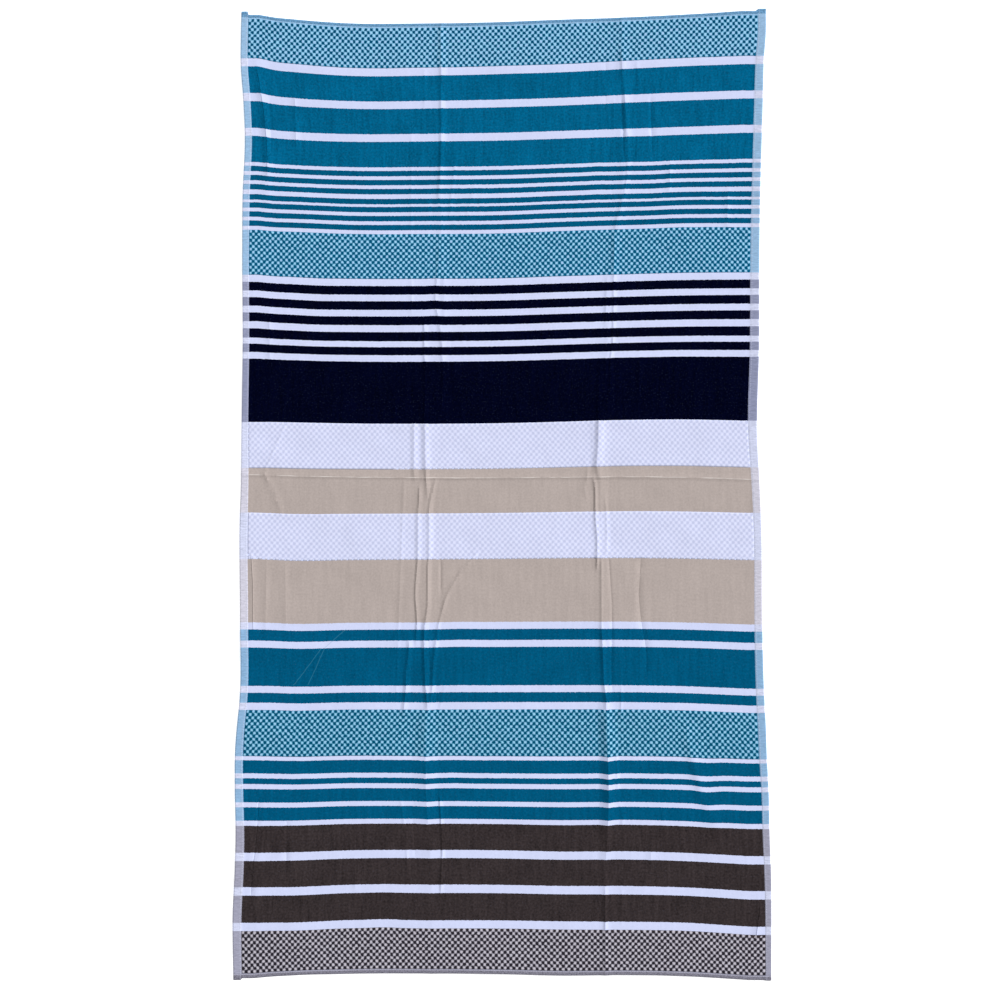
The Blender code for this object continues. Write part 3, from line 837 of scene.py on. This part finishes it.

# Painted highlight: a paler teal along the slanting creases, where they catch the light.
CREASE_HIGHLIGHT_TEAL = "4A93AB"
CREASE_HIGHLIGHT_SHOWS = 0.26  # how far it shows on the slanting creases, half how wide, and how far it wanders
CREASE_HIGHLIGHT_HALF = 0.7
CREASE_HIGHLIGHT_WANDER = 2.0
CREASE_HIGHLIGHT_LINES = (  # each from one (across, along) to another
    ((-304.0, -272.0), (-333.0, -336.0)), ((-309.0, -272.0), (-358.0, -336.0)),
    ((-267.0, -241.0), (-304.0, -272.0)),
)

YARN_WANDER = 2.2  # how far the yarns of a check wander
RAGGED = ((2.0, 1.1), (5.0, 1.0))  # a check's ragged outline: the size of each grain, and its depth
RELIEF_SHADE_LEAN = 0.16  # painted shade: how far the relief's pits lean to one side of each float, where its shade falls
THREAD_GRAIN = 2.5  # how long the sewing thread keeps one tone

# The raised bands from the teal end down: two tints of float, the ground between, the pits, and
# how far the pits spread. The float tints are a painted highlight on each cushion's top, paler
# than the float yarn around it; on the white relief bands the pits are painted shade between
# the cushions.
Look = namedtuple("Look", "float_yarn second_float ground pit pit_edge")
RELIEF = Look("E0E5FE", "DDDFFA", "D0D5F2", "C4C9E7", -0.16)
LOOKS = (
    Look("A2D8F4", "AACAF2", "74B5D9", "004A6E", 0.08),
    Look("A2D8F4", "AACAF0", "62A9CD", "015175", 0.15),
    RELIEF,
    RELIEF,
    Look("9CD4EE", "A0C6EA", "5EA4C6", "004E6E", 0.13),
    Look("C8C6D0", "C6C0CA", "8C8995", "28252D", 0.11),
)


def linear(code):
    """An sRGB hex colour as linear red, green, blue and alpha."""
    parts = [int(code[i : i + 2], 16) / 255 for i in (0, 2, 4)]
    return (*[p / 12.92 if p <= 0.04045 else ((p + 0.055) / 1.055) ** 2.4 for p in parts], 1.0)


def cotton(name):
    """A matt cotton to colour: soft spun yarn scatters light and has almost no gloss."""
    material = bpy.data.materials.new(name)
    material.use_nodes = True
    shader = material.node_tree.nodes["Principled BSDF"]
    shader.inputs["Roughness"].default_value = 1.0
    shader.inputs["IOR"].default_value = 1.5
    shader.inputs["Specular IOR Level"].default_value = 0.0
    return material, material.node_tree, shader


def cloth_place(tree):
    """Across and along the cloth, in millimetres, from the cloth's own map."""
    place = add(tree, "ShaderNodeUVMap", uv_map="cloth")
    scaled = add(tree, "ShaderNodeVectorMath", {0: place, "Scale": 1 / MM}, operation="SCALE")
    split = add(tree, "ShaderNodeSeparateXYZ", {0: scaled}).node
    return scaled, split.outputs[0], split.outputs[1]


def grain(tree, place, across, along, detail=2.0):
    """A tone from 0 to 1, in grains of a size across and along the cloth."""
    counted = add(
        tree, "ShaderNodeVectorMath", {0: place, 1: (1 / across, 1 / along, 1)}, operation="MULTIPLY"
    )
    return add(tree, "ShaderNodeTexNoise", {"Vector": counted, "Scale": 1.0, "Detail": detail})


def laid_over(tree, colour, layers):
    """A colour with others laid over it in turn, each by its share from 0 to 1."""
    for share, over in layers:
        colour = add(tree, "ShaderNodeMix", {0: share, 6: colour, 7: over}, out=2, data_type="RGBA")
    return colour


def yarn_share(tree, along, yarn):
    """1 in the bands woven with a yarn and 0 elsewhere."""
    total = 0.0
    for band in BANDS:
        if band.yarn == yarn:
            high = HIGH[1] + END_HEM if band is BANDS[0] else band.high
            low = LOW[1] - END_HEM if band is BANDS[-1] else band.low
            middle, half = (high + low) / 2, (high - low) / 2
            inside = add(tree, "ShaderNodeMath", {0: along, 1: middle, 2: half}, operation="COMPARE")
            total = add(tree, "ShaderNodeMath", {0: total, 1: inside}, operation="ADD")
    return total


def striped(tree, along, side, tone=None):
    """The stripes as seen on one side of the weave, each yarn mottled by a tone."""
    colour = None
    for name, yarn in YARNS.items():
        dyed = linear(getattr(yarn, side))
        if tone is not None:
            dyed = toned(tree, dyed, tone, yarn.mottle)
        if colour is None:
            colour = dyed
        else:
            colour = laid_over(tree, colour, [(yarn_share(tree, along, name), dyed)])
    return colour


def toned(tree, colour, tone, depth):
    """A colour made up to a depth darker or lighter by a tone from 0 to 1."""
    limits = {"From Min": 0.25, "From Max": 0.75, "To Min": 1 - depth, "To Max": 1 + depth}
    scale = add(tree, "ShaderNodeMapRange", {"Value": tone, **limits})
    if not isinstance(colour, bpy.types.NodeSocket):
        colour = colour[:3]
    return add(tree, "ShaderNodeVectorMath", {0: colour, "Scale": scale}, operation="SCALE")


def woven_stripes():
    """Weft-faced cotton, the cloth's face: the weft beats up so close that it hides the warp.

    That gives solid stripes with faintly stepped borders, mottled where the yarn is thick or
    thin, with long streaks of painted shade for small puckers, and a few specks where the white
    warp peeps through. The threads are 0.5 mm and too fine to show, so the grain stands for a
    few threads together."""
    material, tree, shader = cotton("weft_faced_cotton")
    place, across, along = cloth_place(tree)
    tone = 0.0
    for mottle in MOTTLES:
        grains = grain(tree, place, mottle.across, mottle.along, mottle.detail)
        tone = add(tree, "ShaderNodeMath", {0: grains, 1: mottle.share, 2: tone}, operation="MULTIPLY_ADD")
    stepped = swayed(tree, along, grain(tree, place, 3.2, 30.0), STEP_DEPTH)
    stripes = striped(tree, stepped, "face", tone)
    limits = {"From Min": 0.60, "From Max": 0.76, "To Min": 0.0, "To Max": WARP_SPECK}
    grains = grain(tree, place, 2.2, 2.6, detail=1.0)
    specks = add(tree, "ShaderNodeMapRange", {"Value": grains, **limits})

    # A painted highlight along the cross fold's crest, in broken lengths, partly the white warp showing
    # where it was pressed hard.
    line = add(tree, "ShaderNodeMath", {0: across, 1: FOLD_LEAN, 2: FOLD_MIDDLE}, operation="MULTIPLY_ADD")
    line = swayed(tree, line, grain(tree, place, 45.0, 400.0, detail=3.0), FOLD_WANDER)
    on_fold = add(tree, "ShaderNodeMath", {0: along, 1: line, 2: FOLD_HIGHLIGHT_HALF}, operation="COMPARE")
    limits = {"From Min": 0.40, "From Max": 0.60, "To Min": 0.0, "To Max": FOLD_HIGHLIGHT_SHOWS}
    grains = grain(tree, place, 32.0, 400.0, detail=4.0)
    broken = add(tree, "ShaderNodeMapRange", {"Value": grains, **limits})
    fold_highlight = add(tree, "ShaderNodeMath", {0: on_fold, 1: broken}, operation="MULTIPLY")

    # A painted highlight, paler teal, along the slanting creases where they catch the light.
    layers = [(specks, linear(WARP_SHOWING)), (fold_highlight, linear(FOLD_HIGHLIGHT_AND_WARP))]
    bend = add(tree, "ShaderNodeTexNoise", {"Vector": place, "Scale": 0.06}, out=1)
    reach = (CREASE_HIGHLIGHT_WANDER, CREASE_HIGHLIGHT_WANDER, 0.0)
    bent = add(tree, "ShaderNodeVectorMath", {0: bend, 1: reach, 2: place}, operation="MULTIPLY_ADD")
    for start, end in CREASE_HIGHLIGHT_LINES:
        crease_highlight = add(
            tree, "ShaderNodeMath", {0: on_line(tree, bent, start, end), 1: CREASE_HIGHLIGHT_SHOWS}, operation="MULTIPLY"
        )
        layers.append((crease_highlight, linear(CREASE_HIGHLIGHT_TEAL)))

    # The plain-woven side hems, where the white warp shows as much as the weft.
    hems = striped(tree, along, "mix")
    for size, depth in ((9.0, 0.17), (2.4, 0.07)):
        hems = toned(tree, hems, grain(tree, place, size, 2.4), depth)
    # Painted shade: the hems darken evenly from the left edge to the right one.
    limits = {"From Min": -HALF_CUT, "From Max": HALF_CUT}
    limits.update({"To Min": HEM_SHADE_TONES[0], "To Max": HEM_SHADE_TONES[1]})
    right_hem_shade = add(tree, "ShaderNodeMapRange", {"Value": across, **limits})
    hems = add(tree, "ShaderNodeVectorMath", {0: hems, "Scale": right_hem_shade}, operation="SCALE")
    from_middle = add(tree, "ShaderNodeMath", {0: across}, operation="ABSOLUTE")
    uneven = swayed(tree, from_middle, grain(tree, place, 4.0, 3.0), HEM_WANDER)
    in_side_hem = add(
        tree, "ShaderNodeMath", {0: uneven, 1: HEM_FOOT + HEM_SHOWS}, operation="GREATER_THAN"
    )
    layers.append((in_side_hem, hems))

    # The end hems: the same mix at their feet, and their turned edges outside it.
    for limit, side in ((BANDS[0].high, "GREATER_THAN"), (BANDS[-1].low, "LESS_THAN")):
        in_end_hem = add(tree, "ShaderNodeMath", {0: along, 1: limit}, operation=side)
        layers.append((in_end_hem, hems))
    for code, limit, side in (
        (TEAL_HEM, TEAL_END - END_HEM + END_FACE, "GREATER_THAN"),
        (BROWN_HEM, BROWN_END + END_HEM - END_FACE, "LESS_THAN"),
    ):
        turned = toned(tree, linear(code), grain(tree, place, 3.0, 2.0, detail=4.0), 0.6)
        on_edge = add(tree, "ShaderNodeMath", {0: along, 1: limit}, operation=side)
        layers.append((on_edge, turned))
    tree.links.new(laid_over(tree, stripes, layers), shader.inputs["Base Color"])
    threads = grain(tree, place, 2.6, 1.8, detail=3.0)
    bump = add(tree, "ShaderNodeBump", {"Height": threads, "Distance": 0.2 * MM, "Strength": 0.7})
    tree.links.new(bump, shader.inputs["Normal"])
    return material


def on_line(tree, place, start, end):
    """1 on a narrow line between two places, (across, along), and 0 off it."""
    run = Vector((*end, 0.0)) - Vector((*start, 0.0))
    from_start = add(tree, "ShaderNodeVectorMath", {0: place, 1: (*start, 0.0)}, operation="SUBTRACT")
    inside = 1.0
    for heading, middle, half in (
        (run.normalized(), run.length / 2, run.length / 2),
        (Vector((-run.y, run.x, 0.0)).normalized(), 0.0, CREASE_HIGHLIGHT_HALF),
    ):
        off = add(tree, "ShaderNodeVectorMath", {0: from_start, 1: heading}, out=1, operation="DOT_PRODUCT")
        near = add(tree, "ShaderNodeMath", {0: off, 1: middle, 2: half}, operation="COMPARE")
        inside = add(tree, "ShaderNodeMath", {0: inside, 1: near}, operation="MULTIPLY")
    return inside


def reverse_of_weave():
    """The cloth's back, finished plainly: the white warp floats over the same stripes."""
    material, tree, shader = cotton("warp_faced_reverse")
    place, _, along = cloth_place(tree)
    colour = toned(tree, striped(tree, along, "mix"), grain(tree, place, 4.0, 4.0), 0.05)
    tree.links.new(colour, shader.inputs["Base Color"])
    return material


def check_weave(name, band, look):
    """A raised double weave: pale floats stand up as small cushions between dark pits.
"""
    material, tree, shader = cotton(name)
    place, across, along = cloth_place(tree)
    turns, check = [], 1.0
    for run, start, cell, size in (
        (across, -HEM_FOOT, 2 * HEM_FOOT / CHECK_COLUMNS, (9.0, 4.0)),
        (along, band.low, (band.high - band.low) / check_rows(band), (4.0, 9.0)),
    ):
        wandering = swayed(tree, run, grain(tree, place, *size), YARN_WANDER)
        counted = add(tree, "ShaderNodeMath", {0: wandering, 1: start}, operation="SUBTRACT")
        turn = add(tree, "ShaderNodeMath", {0: counted, 1: math.pi / cell}, operation="MULTIPLY")
        wave = add(tree, "ShaderNodeMath", {0: turn}, operation="SINE")
        check = add(tree, "ShaderNodeMath", {0: check, 1: wave}, operation="MULTIPLY")
        turns.append(turn)
    # Painted shade: on the relief the pits lean to one side of each float, where its shade would fall from
    # the key light.
    if band.weave == "relief":
        corner = add(tree, "ShaderNodeMath", {0: turns[0], 1: turns[1]}, operation="SUBTRACT")
        corner = add(tree, "ShaderNodeMath", {0: corner}, operation="SINE")
        check = add(tree, "ShaderNodeMath", {0: corner, 1: RELIEF_SHADE_LEAN, 2: check}, operation="MULTIPLY_ADD")
    for size, depth in RAGGED:
        check = swayed(tree, check, grain(tree, place, size, size), depth)

    # Painted highlight: the floats' colour brightens to each cushion's top. On the white relief bands the
    # pits' colour is painted shade.
    limits = {"From Min": 0.35, "From Max": 0.65}
    tint = add(tree, "ShaderNodeMapRange", {"Value": grain(tree, place, 6.0, 6.0), **limits})
    floats = laid_over(tree, linear(look.float_yarn), [(tint, linear(look.second_float))])
    limits = {"From Min": look.pit_edge + 0.05, "From Max": 0.75}
    top = add(tree, "ShaderNodeMapRange", {"Value": check, **limits})
    limits = {"From Min": look.pit_edge, "From Max": look.pit_edge - 0.3}
    pit = add(tree, "ShaderNodeMapRange", {"Value": check, **limits})
    colour = laid_over(tree, linear(look.ground), [(top, floats), (pit, linear(look.pit))])
    colour = toned(tree, colour, grain(tree, place, 30.0, 30.0), 0.02)
    tree.links.new(colour, shader.inputs["Base Color"])
    return material


def sewing_thread(name, dyed):
    """Spun polyester sewing thread, slightly glossier than the cotton."""
    material, tree, shader = cotton(name + "_polyester_sewing_thread")
    shader.inputs["Roughness"].default_value = 0.6
    place = add(tree, "ShaderNodeTexCoord", out=3)
    scaled = add(
        tree, "ShaderNodeVectorMath", {0: place, "Scale": 1 / (THREAD_GRAIN * MM)}, operation="SCALE"
    )
    tone = add(tree, "ShaderNodeTexNoise", {"Vector": scaled, "Scale": 1.0})
    tree.links.new(toned(tree, linear(dyed), tone, 0.10), shader.inputs["Base Color"])
    return material


def light_table():
    """A white acrylic light table, lit from below, so that almost no shadow shows on it."""
    material, _, shader = cotton("opal_acrylic")
    shader.inputs["Base Color"].default_value = linear("FAFAFA")
    shader.inputs["Emission Color"].default_value = linear("FFFFFF")
    shader.inputs["Emission Strength"].default_value = 0.5
    return material


# ---- The room -----------------------------------------------------------------------------

KEY_FROM = (0.62, 0.50, 0.59)  # low enough for the creases to show
KEY_SPREAD = 10.0  # degrees, for soft-edged shadows
KEY_STRENGTH = 3.1
FILL_STRENGTH = 0.44


def lay_floor():
    mesh = bpy.data.meshes.new("floor")
    reach, depth = 6.0, -0.4 * MM
    mesh.from_pydata(
        [(-reach, -reach, depth), (reach, -reach, depth), (reach, reach, depth), (-reach, reach, depth)],
        [],
        [(0, 1, 2, 3)],
    )
    mesh.materials.append(light_table())
    placed("floor", mesh)


def light_room():
    """A broad key from the upper right and an even fill from all round."""
    key = bpy.data.lights.new("key", "SUN")
    key.energy = KEY_STRENGTH
    key.angle = math.radians(KEY_SPREAD)
    placed("key", key).rotation_euler = Vector(KEY_FROM).to_track_quat("Z", "Y").to_euler()
    world = bpy.data.worlds.new("studio")
    world.use_nodes = True
    fill = world.node_tree.nodes["Background"]
    fill.inputs["Color"].default_value = (1.0, 1.0, 1.0, 1.0)
    fill.inputs["Strength"].default_value = FILL_STRENGTH
    bpy.context.scene.world = world
    bpy.context.scene.view_settings.view_transform = "Standard"


def place_camera():
    """Nearly straight above, a little towards the brown end."""
    distance, seen_width = 3.0, 1.7223
    tilt = math.radians(2.8)
    aim = (-0.003, -0.0216)
    lens = bpy.data.cameras.new("camera")
    lens.sensor_width = 36.0
    lens.lens = lens.sensor_width * distance / seen_width
    camera = placed("camera", lens)
    camera.location = (aim[0], aim[1] - distance * math.sin(tilt), distance * math.cos(tilt))
    camera.rotation_euler = (tilt, 0.0, 0.0)
    bpy.context.scene.camera = camera


# ---- The towel ----------------------------------------------------------------------------


def build_towel():
    cloth = ground_cloth([woven_stripes(), reverse_of_weave()])
    weave = raised_weave_group()
    raised = []
    for number, band in enumerate(RAISED_BANDS):
        name = f"{band.yarn}_{band.weave}_{number + 1}"
        material = check_weave(name + "_double_weave", band, LOOKS[number])
        raised.append(raised_band(name, band, weave, material))

    row = stitch_row_group()
    grey = sewing_thread("grey", "D3D7EA")
    blue = sewing_thread("blue", "98CAEA")
    clay = sewing_thread("clay", "C0BDCB")
    up = np.linspace(BROWN_END + STITCH_MARGIN, TEAL_END - STITCH_MARGIN, LONG_STATIONS)
    over = np.linspace(-HALF_CUT + STITCH_MARGIN, HALF_CUT - STITCH_MARGIN, SHORT_STATIONS)
    side = np.full(LONG_STATIONS, HALF_CUT - SIDE_HEM + SIDE_STITCH_INSET)
    teal = np.full(SHORT_STATIONS, TEAL_END - END_HEM + STITCH_INSET)
    brown = np.full(SHORT_STATIONS, BROWN_END + END_HEM - STITCH_INSET)
    stitches = [
        stitch_line("stitches_left", -side, up, row, grey, Thread=SIDE_THREAD * MM),
        stitch_line("stitches_right", side, up, row, grey, Thread=SIDE_THREAD * MM),
        stitch_line("stitches_teal_end", over, teal, row, blue),
        stitch_line("stitches_brown_end", over, brown, row, clay),
    ]

    for piece in [cloth, *raised, *stitches]:
        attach(piece, "root")
    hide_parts("towel")


build_towel()
lay_floor()
light_room()
place_camera()
